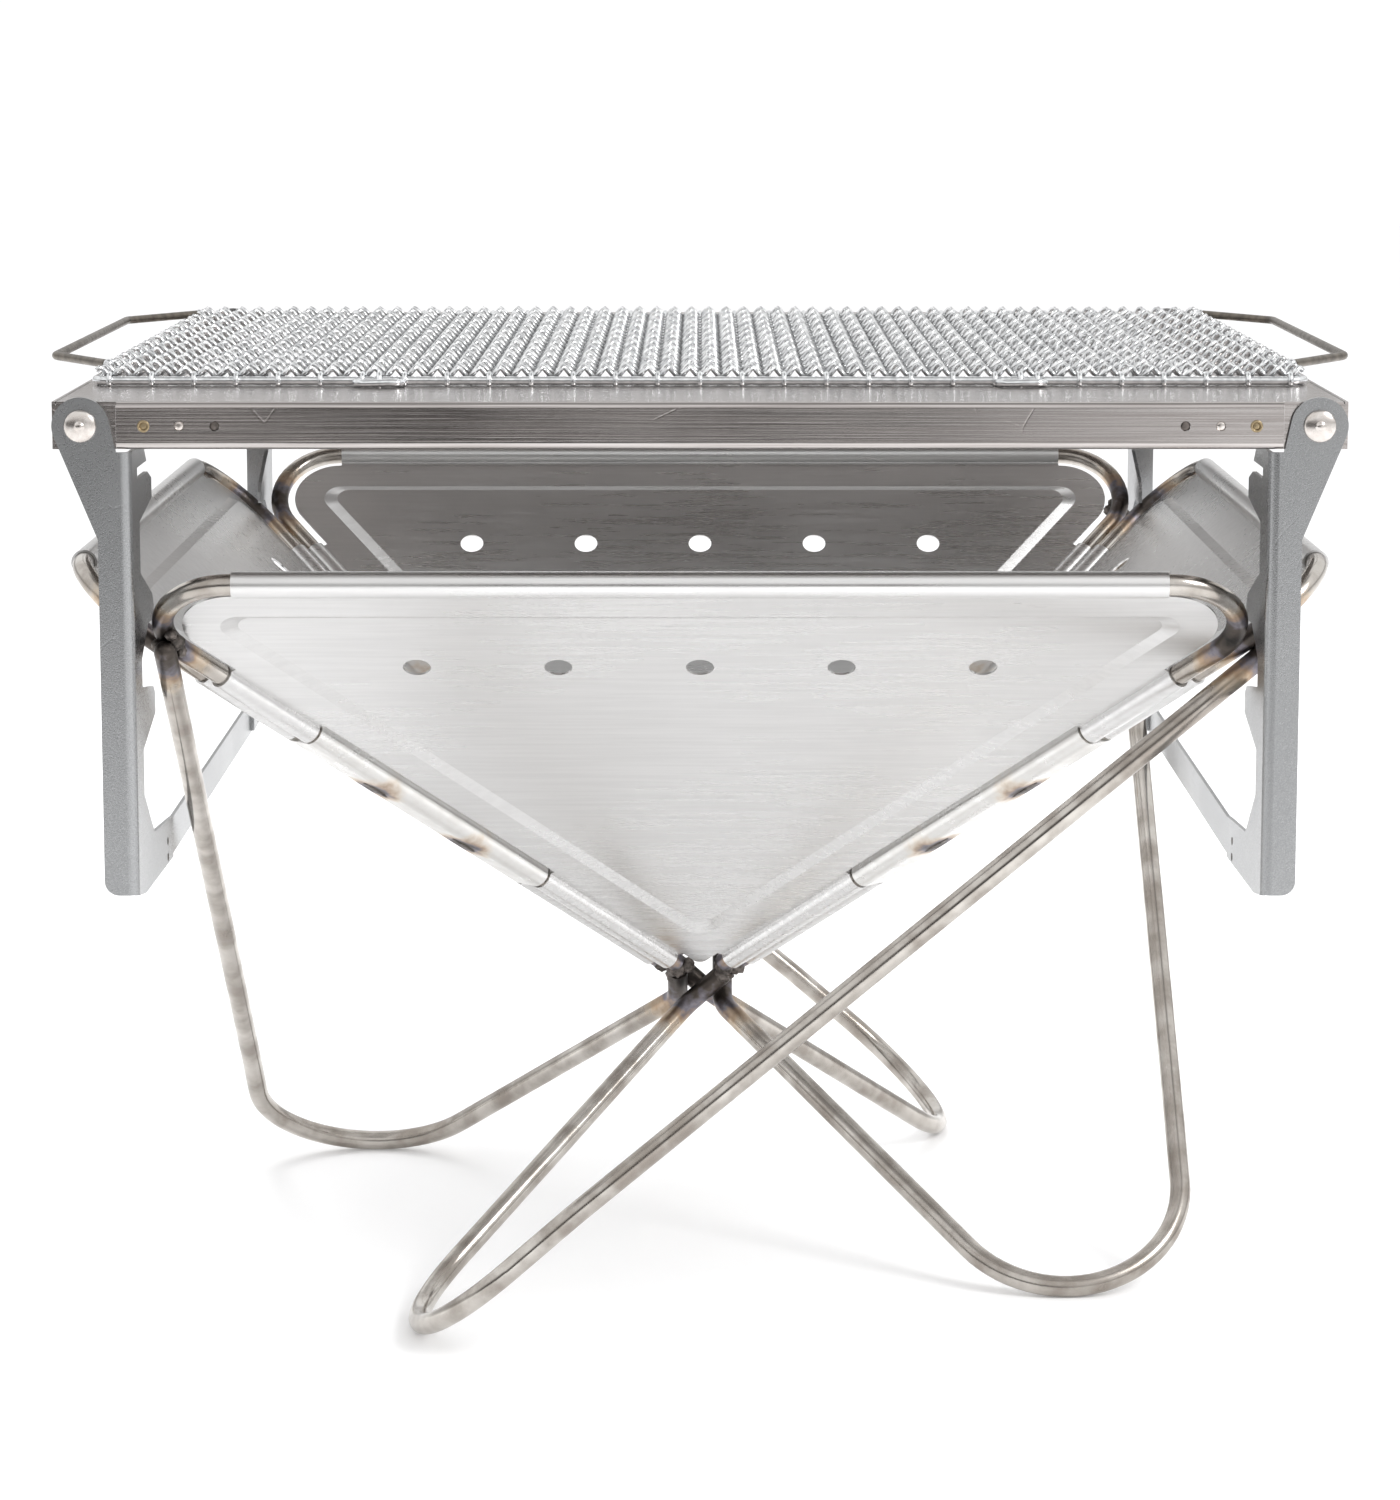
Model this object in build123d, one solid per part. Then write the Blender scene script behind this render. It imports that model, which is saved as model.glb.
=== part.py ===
from build123d import *
import math
import os

# Folding camp grill: an inverted pyramid fire pit of four pressed sheet panels on bent tube frames,
# a grill bridge with toothed swing-out legs, and a woven cooking net that lies on the bridge.
# Millimetres. +Z up, -Y to the front, origin on the ground below the middle of the pit.

# ---- fire pit: panel coordinates are u across the panel and v up its slope, from the apex ----
PIT_HALF = 221.0          # middle of the pit to the top tube's centre line
RIM_Z = 290.0             # height of the top tube's centre line
APEX_Z = 96.0             # height where the four panel planes meet
TUBE_D = 7.6              # panel frame tube
TUBE_CLEAR = 2.4          # between neighbouring frame tubes inside a hinge sleeve
LOOP_R = 26.0             # bend of the frame's top corners, on the centre line
STUB_V = 22.0             # lower end of the frame tube
LEG_D = 8.0
LEG_INSET = 0.87          # corner loop's reach in to the leg tube's long run, across the panel
LEG_FOOT_R = 47.3
LEG_TOP_DROP = 30.6       # rim line down to the leg's welded top end, in front of the corner loop
LEG_LEAN_V = -60.0        # above here the leg leans out to lie on the loop's outer side
LEG_LEAN_R = 400.0
LEG_ELBOW = (9.0, -7.5)   # bend below the apex
LEG_ELBOW_R = 12.0
LEG_END_V = 15.0
WELD_GAP = 0.05           # between tubes that meet at a weld

# ---- panel sheets ----
SHEET_T = 0.8
ROLL_GAP = 0.1            # tube to the sheet rolled round it
EDGE_INSET = 6.8          # tube centre line to the sheet's free edge
FIELD_INSET = 19.5        # tube centre line to the pressed field
FIELD_RAMP = 4.0
FIELD_DEPTH = 2.0
FIELD_R = 7.0
RIM_ROLL_END_GAP = 0.5    # corner bend to the end of the rim roll
AIR_HOLE_D = 10.0
AIR_HOLE_PITCH = 50.4
AIR_HOLE_COUNT = 5
AIR_HOLE_DROP = 55.5      # rim line to the row of air holes, down the slope
ROLL_TOP_DROP = 58.0      # rim line down to the upper edge roll's top end ...
SLEEVE_TOP_DROP = 97.0    # ... and to the hinge sleeve's
SLEEVE_LOW_V = 92.0
ROLL_LOW_V = 26.0         # lower end of the lower edge roll
ROLL_SLEEVE_GAP = 1.0
SLEEVE_WALL = 0.7

# ---- grill bridge ----
BRIDGE_T = 1.2
BRIDGE_RISE = 64.0        # top tube's centre line up to the bridge's top face
BRIDGE_DEPTH = 16.2
FACE_OUT = 10.5           # top tube's centre line out to the rail's face
RAIL_LIP = 8.0
RAIL_FLANGE = 81.5
BEND_R = 2.2
LOOP_CLEAR = 2.2          # corner loop to the leg's side plate
LEG_T = 1.5
PIVOT_OUT = 17.0          # side plate's inner face out to the pivot rivet
PIVOT_DROP = 8.2
HEAD_R = 9.8
HEAD_CLEAR = 2.4          # leg head to the end of the rail's face
END_FLANGE = 32.0
RUN_GAP = 0.3             # between moving faces
SHOULDER_GAP = 1.0        # rail's underside to the leg's shoulder
LEG_FACE_W = 11.7         # face of the leg below its head
TAPER_DROP = 39.0         # pivot down to the end of the head's taper
LEG_FACE_DROP = 162.8     # pivot down to the bottom of the leg's face
FACE_CORNER_R = 5.0
LEG_BEND_R = 3.6
TOOTH_Y = 51.5            # side plate's teeth, back from the leg's face
SHOULDER_Y = 31.5         # shoulder's length, back from the leg's face
SLOT_TOP_Y = 39.5         # slot's upper edge, back from the leg's face
SLOT_END_Y = 15.5         # slot's closed end, back from the leg's face
SLOT_LOW_Y = 41.5         # slot's lower edge, back from the leg's face
# side plate's edge over and under the hook tooth: back from the leg's face, up from the tooth's underside
EDGE_OVER = ((51.5, 50.0), (51.5, 43.0), (19.5, 38.0), (19.5, 20.0), (48.5, 9.0), (51.5, 5.0))
EDGE_UNDER = (
    (19.5, -10.0), (19.5, -20.0), (47.5, -24.0), (51.5, -27.0),
    (51.5, -34.0), (19.5, -42.0), (19.5, -58.0),
)
# side plate's foot: back from the leg's face, up from the bottom of the face
FOOT_EDGE = ((43.5, 14.0), (93.5, 10.0), (93.5, -5.0), (19.5, -3.0))
TOOTH_LAND = 15.0         # flat underside of the tooth that hooks over the corner loop
TAB_Y = 93.5              # foot tab, back from the leg's face
SLOT_DROP = 15.8          # pivot down to the slot's top
SLOT_H = 4.0
STRIP_H = 13.5
STRIP_T = 1.4
STRIP_DROP = 168.8        # pivot down to the bottom of the cross strip
STRIP_OVERLAP = 22.0
RIVET_D = 6.0
RIVET_RUN = 0.08          # rivet shank to leg hole, radial
RIVET_HEAD_D = 11.3
RIVET_HEAD_H = 3.0
RIVET_HEAD_GAP = 0.1
RAIL_HOLE_D = 3.4
RAIL_HOLE_PITCH = 12.1
RAIL_HOLE_INSET = 9.3

# ---- cooking net ----
NET_INSET_X = 3.67        # bridge's end in to the net's border
NET_INSET_Y = 65.5        # rail's face in to the net's border
BORDER_D = 3.0
BORDER_CORNER_R = 5.0
NET_GAP = 0.3             # border wire to the bridge's top face
ROD_D = 2.0
ROD_COUNT = 29
CROSS_D = 2.0
CROSS_COUNT = 22
CROSS_CREST = 6.4         # bridge's top face to the crest of the cross wires
STIFF_X = 114.0
STIFF_D = 2.6
EYE_LENGTH = 19.0
EYE_WIDTH = 8.5
WIRE_GAP = 0.1
HANDLE_D = 3.2
HANDLE_REACH = 23.0       # net's border out to the handle's bar
HANDLE_ROOT_IN = 30.0     # net's corner in to the handle's root
HANDLE_BAR_IN = 70.0      # net's corner in to the end of the handle's bar
HANDLE_R = 9.0
COLLAR_D = 4.0
COLLAR_INSET = 2.5        # net's end in to the middle of the collar

tube_r = TUBE_D / 2
leg_r = LEG_D / 2
rise = RIM_Z - APEX_Z
slope = math.hypot(PIT_HALF, rise)
apex_half = math.atan2(PIT_HALF, slope)        # half the panel's angle at the apex


def panel_normal(k):
    """Upward normal of panel k, counted from the front anticlockwise seen from above."""
    turn = math.radians(90 * k)
    back, up = rise / slope, PIT_HALF / slope
    return Vector(-math.sin(turn) * back, math.cos(turn) * back, up)


neighbour_angle = panel_normal(0).get_angle(panel_normal(1))
tube_pitch = TUBE_D + TUBE_CLEAR
tube_inset = tube_pitch / 2 / math.cos(math.radians(neighbour_angle / 2))

roll_in = tube_r + ROLL_GAP
roll_out = roll_in + SHEET_T
bridge_top = RIM_Z + BRIDGE_RISE
bridge_low = bridge_top - BRIDGE_DEPTH
face_y = PIT_HALF + FACE_OUT
loop_reach = (slope - tube_inset / math.sin(apex_half)) * math.tan(apex_half)
loop_reach -= LOOP_R / math.tan((math.pi / 2 - apex_half) / 2) - LOOP_R
plate_x = loop_reach + tube_r + LOOP_CLEAR
pivot_x = plate_x + PIVOT_OUT
pivot_z = bridge_top - PIVOT_DROP
end_x = pivot_x + HEAD_R
rail_half = pivot_x - HEAD_R - HEAD_CLEAR
tab_y = face_y - LEG_T - RUN_GAP
border_z = bridge_top + NET_GAP + BORDER_D / 2
leg_u = loop_reach - LEG_INSET
leg_top_v = slope - LEG_TOP_DROP
roll_top_v = slope - ROLL_TOP_DROP
sleeve_top_v = slope - SLEEVE_TOP_DROP
net_half_x = end_x - NET_INSET_X
net_half_y = face_y - NET_INSET_Y
handle_x = net_half_x + HANDLE_REACH
handle_root_y = net_half_y - HANDLE_ROOT_IN
handle_bar_y = net_half_y - HANDLE_BAR_IN

# front panel: x across, y up its slope, z out of the pit
panel = Plane(origin=(0, 0, APEX_Z), x_dir=(1, 0, 0), z_dir=-panel_normal(0))


def edge_u(v, inset=0.0):
    """Distance across the panel to the line that runs inset inside an edge tube's centre line."""
    return (v - (tube_inset + inset) / math.sin(apex_half)) * math.tan(apex_half)


def frame_tube():
    """Closed top loop of one panel: two edge runs that end at the apex, and the top run between."""
    stub = (edge_u(STUB_V), STUB_V)
    corner = (edge_u(slope), slope)
    path = FilletPolyline(
        (-stub[0], stub[1]),
        (-corner[0], corner[1]),
        (corner[0], corner[1]),
        (stub[0], stub[1]),
        radius=LOOP_R,
    )
    return sweep(Plane(path @ 0, z_dir=path % 0) * Circle(tube_r), path=path)


def leg_tube():
    """Leg of one panel: from a weld on the corner loop down to the ground and up to the apex."""
    foot_v = (leg_r - APEX_Z) * slope / rise
    centre = (LEG_FOOT_R - leg_u, foot_v + LEG_FOOT_R)
    elbow = (-LEG_ELBOW[0], LEG_ELBOW[1])
    run = (centre[0] - elbow[0], centre[1] - elbow[1])
    heading = math.atan2(run[1], run[0]) + math.asin(LEG_FOOT_R / math.hypot(*run))
    corner_v = elbow[1] + math.tan(heading) * (-leg_u - elbow[0])
    top = (-leg_u, leg_top_v, tube_r + leg_r + WELD_GAP)
    path = FilletPolyline(
        top,
        (-leg_u, LEG_LEAN_V, 0),
        (-leg_u, corner_v, 0),
        elbow,
        (elbow[0], LEG_END_V, 0),
        radius=[LEG_LEAN_R, LEG_FOOT_R, LEG_ELBOW_R],
    )
    tube = sweep(Plane(path @ 0, z_dir=path % 0) * Circle(leg_r), path=path)
    return tube + Pos(*top) * Sphere(leg_r)


def inset_triangle(inset, corner_r, tip_r):
    """Panel-shaped face, inset from the tube centre lines, with rounded corners."""
    low = (tube_inset + inset) / math.sin(apex_half)
    top = slope - inset
    half = edge_u(top, inset)
    face = make_face(Polyline((0, low), (half, top), (-half, top), close=True))
    tip = face.vertices().sort_by(Axis.Y)[0]
    face = fillet(tip, tip_r)
    corners = [face.vertices().sort_by_distance((side * half, top, 0))[0] for side in (-1, 1)]
    return fillet(corners, corner_r)


def edge_place(side, v):
    """Place on an edge tube: z runs up the tube and x points to the middle of the panel."""
    along = Vector(side * math.sin(apex_half), math.cos(apex_half), 0)
    inward = Vector(-side * math.cos(apex_half), math.sin(apex_half), 0)
    return Plane(origin=(side * edge_u(v), v, 0), x_dir=inward, z_dir=along)


def edge_length(low_v, high_v):
    return (high_v - low_v) / math.cos(apex_half)


def edge_bar(side, low_v, high_v, radius):
    """Round bar on an edge tube's centre line."""
    length = edge_length(low_v, high_v)
    bar = Cylinder(radius, length, align=(Align.CENTER, Align.CENTER, Align.MIN))
    return edge_place(side, low_v) * bar


def edge_strip(side, low_v, high_v):
    """Flat strip of sheet between the panel and an edge roll."""
    length = edge_length(low_v, high_v)
    strip = Box(EDGE_INSET + 0.2, SHEET_T, length, align=(Align.MIN, Align.CENTER, Align.MIN))
    return edge_place(side, low_v) * strip


def rim_bar(radius, half):
    return Pos(0, slope, 0) * Rot(0, 90, 0) * Cylinder(radius, 2 * half)


def pressed_step(level):
    """Solid between the sheet's plain level and the pressed field's floor."""
    outer = inset_triangle(FIELD_INSET, FIELD_R, FIELD_R)
    inner_r = FIELD_R - FIELD_RAMP / 2
    inner = inset_triangle(FIELD_INSET + FIELD_RAMP, inner_r, inner_r)
    return loft([Pos(0, 0, level) * outer, Pos(0, 0, level - FIELD_DEPTH) * inner])


def panel_sheet():
    """Pressed sheet with air holes, rolled round the top run and, above and below the hinge, the edges."""
    corner_gap = LOOP_R / math.tan((math.pi / 2 - apex_half) / 2)
    rim_half = edge_u(slope) - corner_gap - RIM_ROLL_END_GAP
    flat = inset_triangle(EDGE_INSET, LOOP_R - EDGE_INSET, 3)
    sheet = Pos(0, 0, -SHEET_T / 2) * extrude(flat, SHEET_T)
    rim_strip = Box(2 * rim_half, EDGE_INSET + 0.2, SHEET_T, align=(Align.CENTER, Align.MAX, Align.CENTER))
    sheet += Pos(0, slope, 0) * rim_strip
    sheet += rim_bar(roll_out, rim_half)
    rolls = [
        (ROLL_LOW_V, SLEEVE_LOW_V - ROLL_SLEEVE_GAP),
        (sleeve_top_v + ROLL_SLEEVE_GAP, roll_top_v),
    ]
    for side in (-1, 1):
        for low_v, high_v in rolls:
            sheet += edge_strip(side, low_v, high_v)
            sheet += edge_bar(side, low_v, high_v, roll_out)
    sheet = sheet + pressed_step(-SHEET_T / 2) - pressed_step(SHEET_T / 2)
    first = -AIR_HOLE_PITCH * (AIR_HOLE_COUNT - 1) / 2
    for n in range(AIR_HOLE_COUNT):
        place = Pos(first + n * AIR_HOLE_PITCH, slope - AIR_HOLE_DROP, 0)
        sheet -= place * Cylinder(AIR_HOLE_D / 2, 4 * FIELD_DEPTH)
    sheet -= rim_bar(roll_in, rim_half + 1)
    for side in (-1, 1):
        sheet -= edge_bar(side, ROLL_LOW_V - 1, roll_top_v + 1, roll_in)
    return sheet


def hinge_sleeve():
    """Plate wrapped round the front panel's left tube and the left panel's tube beside it."""
    here = panel.from_local_coords(Vector(-edge_u(SLEEVE_LOW_V), SLEEVE_LOW_V, 0))
    top = panel.from_local_coords(Vector(-edge_u(sleeve_top_v), sleeve_top_v, 0))
    beside = Vector(here.Y, here.X, here.Z)
    across = beside - here
    outline = SlotCenterToCenter(across.length, 2 * (roll_in + SLEEVE_WALL))
    bores = [Pos(x * across.length / 2, 0) * Circle(roll_in) for x in (-1, 1)]
    plane = Plane(origin=(here + beside) / 2, x_dir=across, z_dir=top - here)
    return extrude(plane * (outline - bores), (top - here).length)


def quarter_turn(shape, turns):
    return Rot(0, 0, 90 * turns) * shape


def rail_holes():
    """Small holes near both ends of the rail's face."""
    holes = []
    for side in (-1, 1):
        for n in range(3):
            x = side * (rail_half - RAIL_HOLE_INSET - n * RAIL_HOLE_PITCH)
            holes.append(Pos(x, -face_y, pivot_z) * Rot(90, 0, 0) * Cylinder(RAIL_HOLE_D / 2, 4 * BRIDGE_T))
    return holes


def front_rail():
    """Front rail: wide top flange, face and bottom lip bent from one sheet."""
    front = (Align.CENTER, Align.MIN, Align.MAX)
    face = Pos(0, -face_y, bridge_top) * Box(2 * rail_half, BRIDGE_T, BRIDGE_DEPTH, align=front)
    flange = Pos(0, -face_y, bridge_top) * Box(2 * rail_half, RAIL_FLANGE, BRIDGE_T, align=front)
    lip = Pos(0, -face_y, bridge_low + BRIDGE_T) * Box(2 * rail_half, RAIL_LIP, BRIDGE_T, align=front)
    rail = face + flange + lip
    bends = rail.edges().filter_by(Axis.X).filter_by_position(Axis.Y, -face_y - 0.1, -face_y + 0.1)
    rail = fillet(bends, BEND_R)
    inner = rail.edges().filter_by(Axis.X).filter_by_position(
        Axis.Y, BRIDGE_T - face_y - 0.1, BRIDGE_T - face_y + 0.1
    )
    rail = fillet(inner, BEND_R - BRIDGE_T)
    wing_half = end_x - BRIDGE_T - RUN_GAP
    wing = Box(2 * wing_half, RAIL_FLANGE - (face_y - tab_y), BRIDGE_T, align=front)
    rail += Pos(0, -tab_y, bridge_top) * wing
    return rail - rail_holes()


def end_plate():
    """Left end plate: outer wall, inner top flange, and the tabs that carry the leg pivots."""
    wall = Pos(-end_x, 0, bridge_top) * Box(
        BRIDGE_T, 2 * tab_y, BRIDGE_DEPTH, align=(Align.MIN, Align.CENTER, Align.MAX)
    )
    flange_half = face_y - RAIL_FLANGE - RUN_GAP
    flange = Pos(-end_x, 0, bridge_top) * Box(
        END_FLANGE, 2 * flange_half, BRIDGE_T, align=(Align.MIN, Align.CENTER, Align.MAX)
    )
    plate = wall + flange
    tab_top = bridge_top - BRIDGE_T - 0.1
    tab_w = end_x - rail_half - RUN_GAP
    tab = Pos(-end_x, -tab_y, tab_top) * Box(
        tab_w, BRIDGE_T, tab_top - bridge_low, align=(Align.MIN, Align.MIN, Align.MAX)
    )
    hole = Pos(-pivot_x, -tab_y, pivot_z) * Rot(90, 0, 0) * Cylinder(RIVET_D / 2, 6 * BRIDGE_T)
    tab -= hole
    return plate + tab + mirror(tab, Plane.XZ)


def leg_face():
    """Outline of the left front leg's face, seen from the front."""
    shoulder = bridge_low - SHOULDER_GAP
    outer = -plate_x - LEG_FACE_W
    taper_z = pivot_z - TAPER_DROP
    low = pivot_z - LEG_FACE_DROP
    to_taper = (outer + pivot_x, -TAPER_DROP)
    span = math.hypot(*to_taper)
    turn = math.atan2(to_taper[1], to_taper[0]) - math.acos(HEAD_R / span)
    touch = (HEAD_R * math.cos(turn), HEAD_R * math.sin(turn))
    inner_x = rail_half + RUN_GAP - plate_x
    to_neck = (pivot_x - plate_x - inner_x, shoulder - pivot_z)
    lean = math.atan2(to_neck[1], to_neck[0]) + math.acos(min(1, HEAD_R / math.hypot(*to_neck)))
    crown = (HEAD_R * math.cos(lean), HEAD_R * math.sin(lean))
    points = [
        (touch[0] - pivot_x, touch[1] + pivot_z),
        (outer, taper_z),
        (outer, low),
        (-plate_x, low),
        (-plate_x, shoulder),
        (-plate_x - inner_x, shoulder),
        (crown[0] - pivot_x, crown[1] + pivot_z),
    ]
    face = make_face(Polyline(*points, close=True)) + Pos(-pivot_x, pivot_z) * Circle(HEAD_R)
    corner = face.vertices().sort_by_distance((outer, low, 0))[0]
    return fillet(corner, FACE_CORNER_R)


def hook_z():
    """Top of the left panel's corner loop where the leg's side plate crosses it."""
    v = (plate_x + LEG_T) * slope / PIT_HALF
    return APEX_Z + v * rise / slope + tube_r * slope / PIT_HALF


def side_outline():
    """Toothed outline of the leg's side plate: y counted back from the leg's face, z up."""
    shoulder = bridge_low - SHOULDER_GAP
    hook = hook_z() + RUN_GAP
    slot_top = pivot_z - SLOT_DROP
    low = pivot_z - LEG_FACE_DROP
    land = TOOTH_Y - TOOTH_LAND
    return [
        (0, shoulder),
        (SHOULDER_Y, shoulder),
        (SLOT_TOP_Y, slot_top),
        (SLOT_END_Y, slot_top),
        (SLOT_END_Y, slot_top - SLOT_H),
        (SLOT_LOW_Y, slot_top - SLOT_H),
        *[(y, hook + z) for y, z in EDGE_OVER],
        (TOOTH_Y, hook),
        (land, hook),
        *[(y, hook + z) for y, z in EDGE_UNDER],
        *[(y, low + z) for y, z in FOOT_EDGE],
        (0, low),
    ]


def bent_sheet():
    """Upright L-section of leg sheet with a rounded bend, tall enough for the whole leg."""
    reach = 2 * HEAD_R + PIVOT_OUT
    outer = Pos(-plate_x, -face_y) * Rectangle(reach, TAB_Y, align=(Align.MAX, Align.MIN))
    inner = Pos(-plate_x - LEG_T, -face_y + LEG_T) * Rectangle(reach, TAB_Y, align=(Align.MAX, Align.MIN))
    outer = fillet(outer.vertices().sort_by_distance((-plate_x, -face_y, 0))[0], LEG_BEND_R)
    near = inner.vertices().sort_by_distance((-plate_x, -face_y, 0))[0]
    inner = fillet(near, LEG_BEND_R - LEG_T)
    section = outer - inner
    return Pos(0, 0, pivot_z - LEG_FACE_DROP - HEAD_R) * extrude(section, LEG_FACE_DROP + 3 * HEAD_R)


def leg():
    """Left front leg plate: face with the pivot head, bent back into the toothed side plate."""
    low = pivot_z - LEG_FACE_DROP
    shoulder = bridge_low - SHOULDER_GAP
    column = Pos(-plate_x, low - HEAD_R) * Rectangle(
        LEG_T, shoulder - low + HEAD_R, align=(Align.MAX, Align.MIN)
    )
    from_front = Plane.XZ * (leg_face() + column)
    front_cut = extrude(from_front, 2 * face_y)
    teeth = [(-plate_x, y - face_y, z) for y, z in side_outline()]
    side_cut = extrude(make_face(Polyline(*teeth, close=True)), 3 * PIVOT_OUT, dir=(-1, 0, 0))
    head_cut = Pos(-plate_x, -face_y, low) * Box(
        3 * PIVOT_OUT, LEG_T, pivot_z + HEAD_R - low, align=(Align.MAX, Align.MIN, Align.MIN)
    )
    plate = bent_sheet() & front_cut & (side_cut + head_cut)
    hole = Cylinder(RIVET_D / 2 + RIVET_RUN, 6 * LEG_T)
    return plate - Pos(-pivot_x, -face_y, pivot_z) * Rot(90, 0, 0) * hole


def cross_strip():
    """Strip that ties the foot tabs of the left legs, on their outer side."""
    half = face_y - TAB_Y + STRIP_OVERLAP
    corner = (-plate_x - LEG_T - WELD_GAP, 0, pivot_z - STRIP_DROP)
    return Pos(*corner) * Box(STRIP_T, 2 * half, STRIP_H, align=(Align.MAX, Align.CENTER, Align.MIN))


def pivot_rivet():
    """Left front rivet: domed head, shank through the leg and the tab, and a flattened tail."""
    up = (Align.CENTER, Align.CENTER, Align.MIN)
    grip = BRIDGE_T + RUN_GAP + LEG_T + RIVET_HEAD_GAP
    dome_r = (RIVET_HEAD_D**2 / 4 + RIVET_HEAD_H**2) / (2 * RIVET_HEAD_H)
    dome = Pos(0, 0, grip + RIVET_HEAD_H - dome_r) * Sphere(dome_r)
    dome &= Pos(0, 0, grip) * Cylinder(RIVET_HEAD_D, RIVET_HEAD_H, align=up)
    tail = Cylinder(RIVET_D * 0.7, 1.2, align=(Align.CENTER, Align.CENTER, Align.MAX))
    rivet = Cylinder(RIVET_D / 2, grip, align=up) + dome + tail
    return Pos(-pivot_x, -tab_y + BRIDGE_T, pivot_z) * Rot(90, 0, 0) * rivet


def wire(start, end, diameter):
    """Straight round wire between two points."""
    axis = Vector(*end) - Vector(*start)
    rod = Cylinder(diameter / 2, axis.length, align=(Align.CENTER, Align.CENTER, Align.MIN))
    return Plane(origin=start, z_dir=axis) * rod


def net_border():
    x, y = net_half_x - BORDER_D / 2, net_half_y - BORDER_D / 2
    path = (Pos(0, 0, border_z) * RectangleRounded(2 * x, 2 * y, BORDER_CORNER_R)).wire()
    return sweep(Plane(path @ 0, z_dir=path % 0) * Circle(BORDER_D / 2), path=path)


def even_places(half, count):
    return [half * (2 * n / (count - 1) - 1) for n in range(count)]


def net_long_rods():
    """Rods from the front to the rear border, clear of the two stiffener rods."""
    half = net_half_y - BORDER_D - WIRE_GAP
    places = even_places(net_half_x - BORDER_D - ROD_D - 2, ROD_COUNT)
    clear = (STIFF_D + ROD_D) / 2 + WIRE_GAP
    kept = [x for x in places if abs(abs(x) - STIFF_X) > clear]
    return [wire((x, -half, border_z), (x, half, border_z), ROD_D) for x in kept]


def net_cross_wires():
    """Cross wires, straight, at the height of the crests of their crimps."""
    half = net_half_x - 2 * BORDER_D - WIRE_GAP
    z = bridge_top + CROSS_CREST - CROSS_D / 2
    places = even_places(net_half_y - BORDER_D - CROSS_D - 2, CROSS_COUNT)
    return [wire((-half, y, z), (half, y, z), CROSS_D) for y in places]


def net_stiffeners():
    """Two rods with a flattened eye at each end, the eyes lying outside the border wire."""
    rods = []
    eye_y = net_half_y + EYE_WIDTH / 2 + WIRE_GAP
    for side in (-1, 1):
        x = side * STIFF_X
        half = net_half_y - BORDER_D - WIRE_GAP
        rods.append(wire((x, -half, border_z), (x, half, border_z), STIFF_D))
        for end in (-1, 1):
            outer = SlotOverall(EYE_LENGTH, EYE_WIDTH)
            eye = outer - SlotOverall(EYE_LENGTH - 2 * STIFF_D, EYE_WIDTH - 2 * STIFF_D)
            place = Pos(x, end * eye_y, border_z - BORDER_D / 2)
            rods.append(place * extrude(eye, STIFF_D))
    return rods


def collar_place(end):
    """Middle of a left collar, on the border wire; end is -1 at the front and 1 at the rear."""
    z = border_z + (BORDER_D + COLLAR_D) / 2 + WIRE_GAP
    return Vector(COLLAR_INSET - net_half_x, end * handle_root_y, z)


def net_handle():
    """Left handle: bar with an arm at each end that runs in to its collar."""
    roots = [collar_place(end) for end in (-1, 1)]
    bends = [Vector(-handle_x, end * handle_bar_y, roots[0].Z) for end in (-1, 1)]
    starts = [r + (b - r).normalized() * (COLLAR_D / 2 + WIRE_GAP) for r, b in zip(roots, bends)]
    path = FilletPolyline(starts[0], bends[0], bends[1], starts[1], radius=HANDLE_R)
    return sweep(Plane(path @ 0, z_dir=path % 0) * Circle(HANDLE_D / 2), path=path)


def handle_collars():
    """Ball collars on the left border wire, one at each end of the handle."""
    return [Pos(*collar_place(end)) * Sphere(COLLAR_D / 2) for end in (-1, 1)]


def mirror_x(shapes):
    return [mirror(s, Plane.YZ) for s in shapes]


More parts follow.
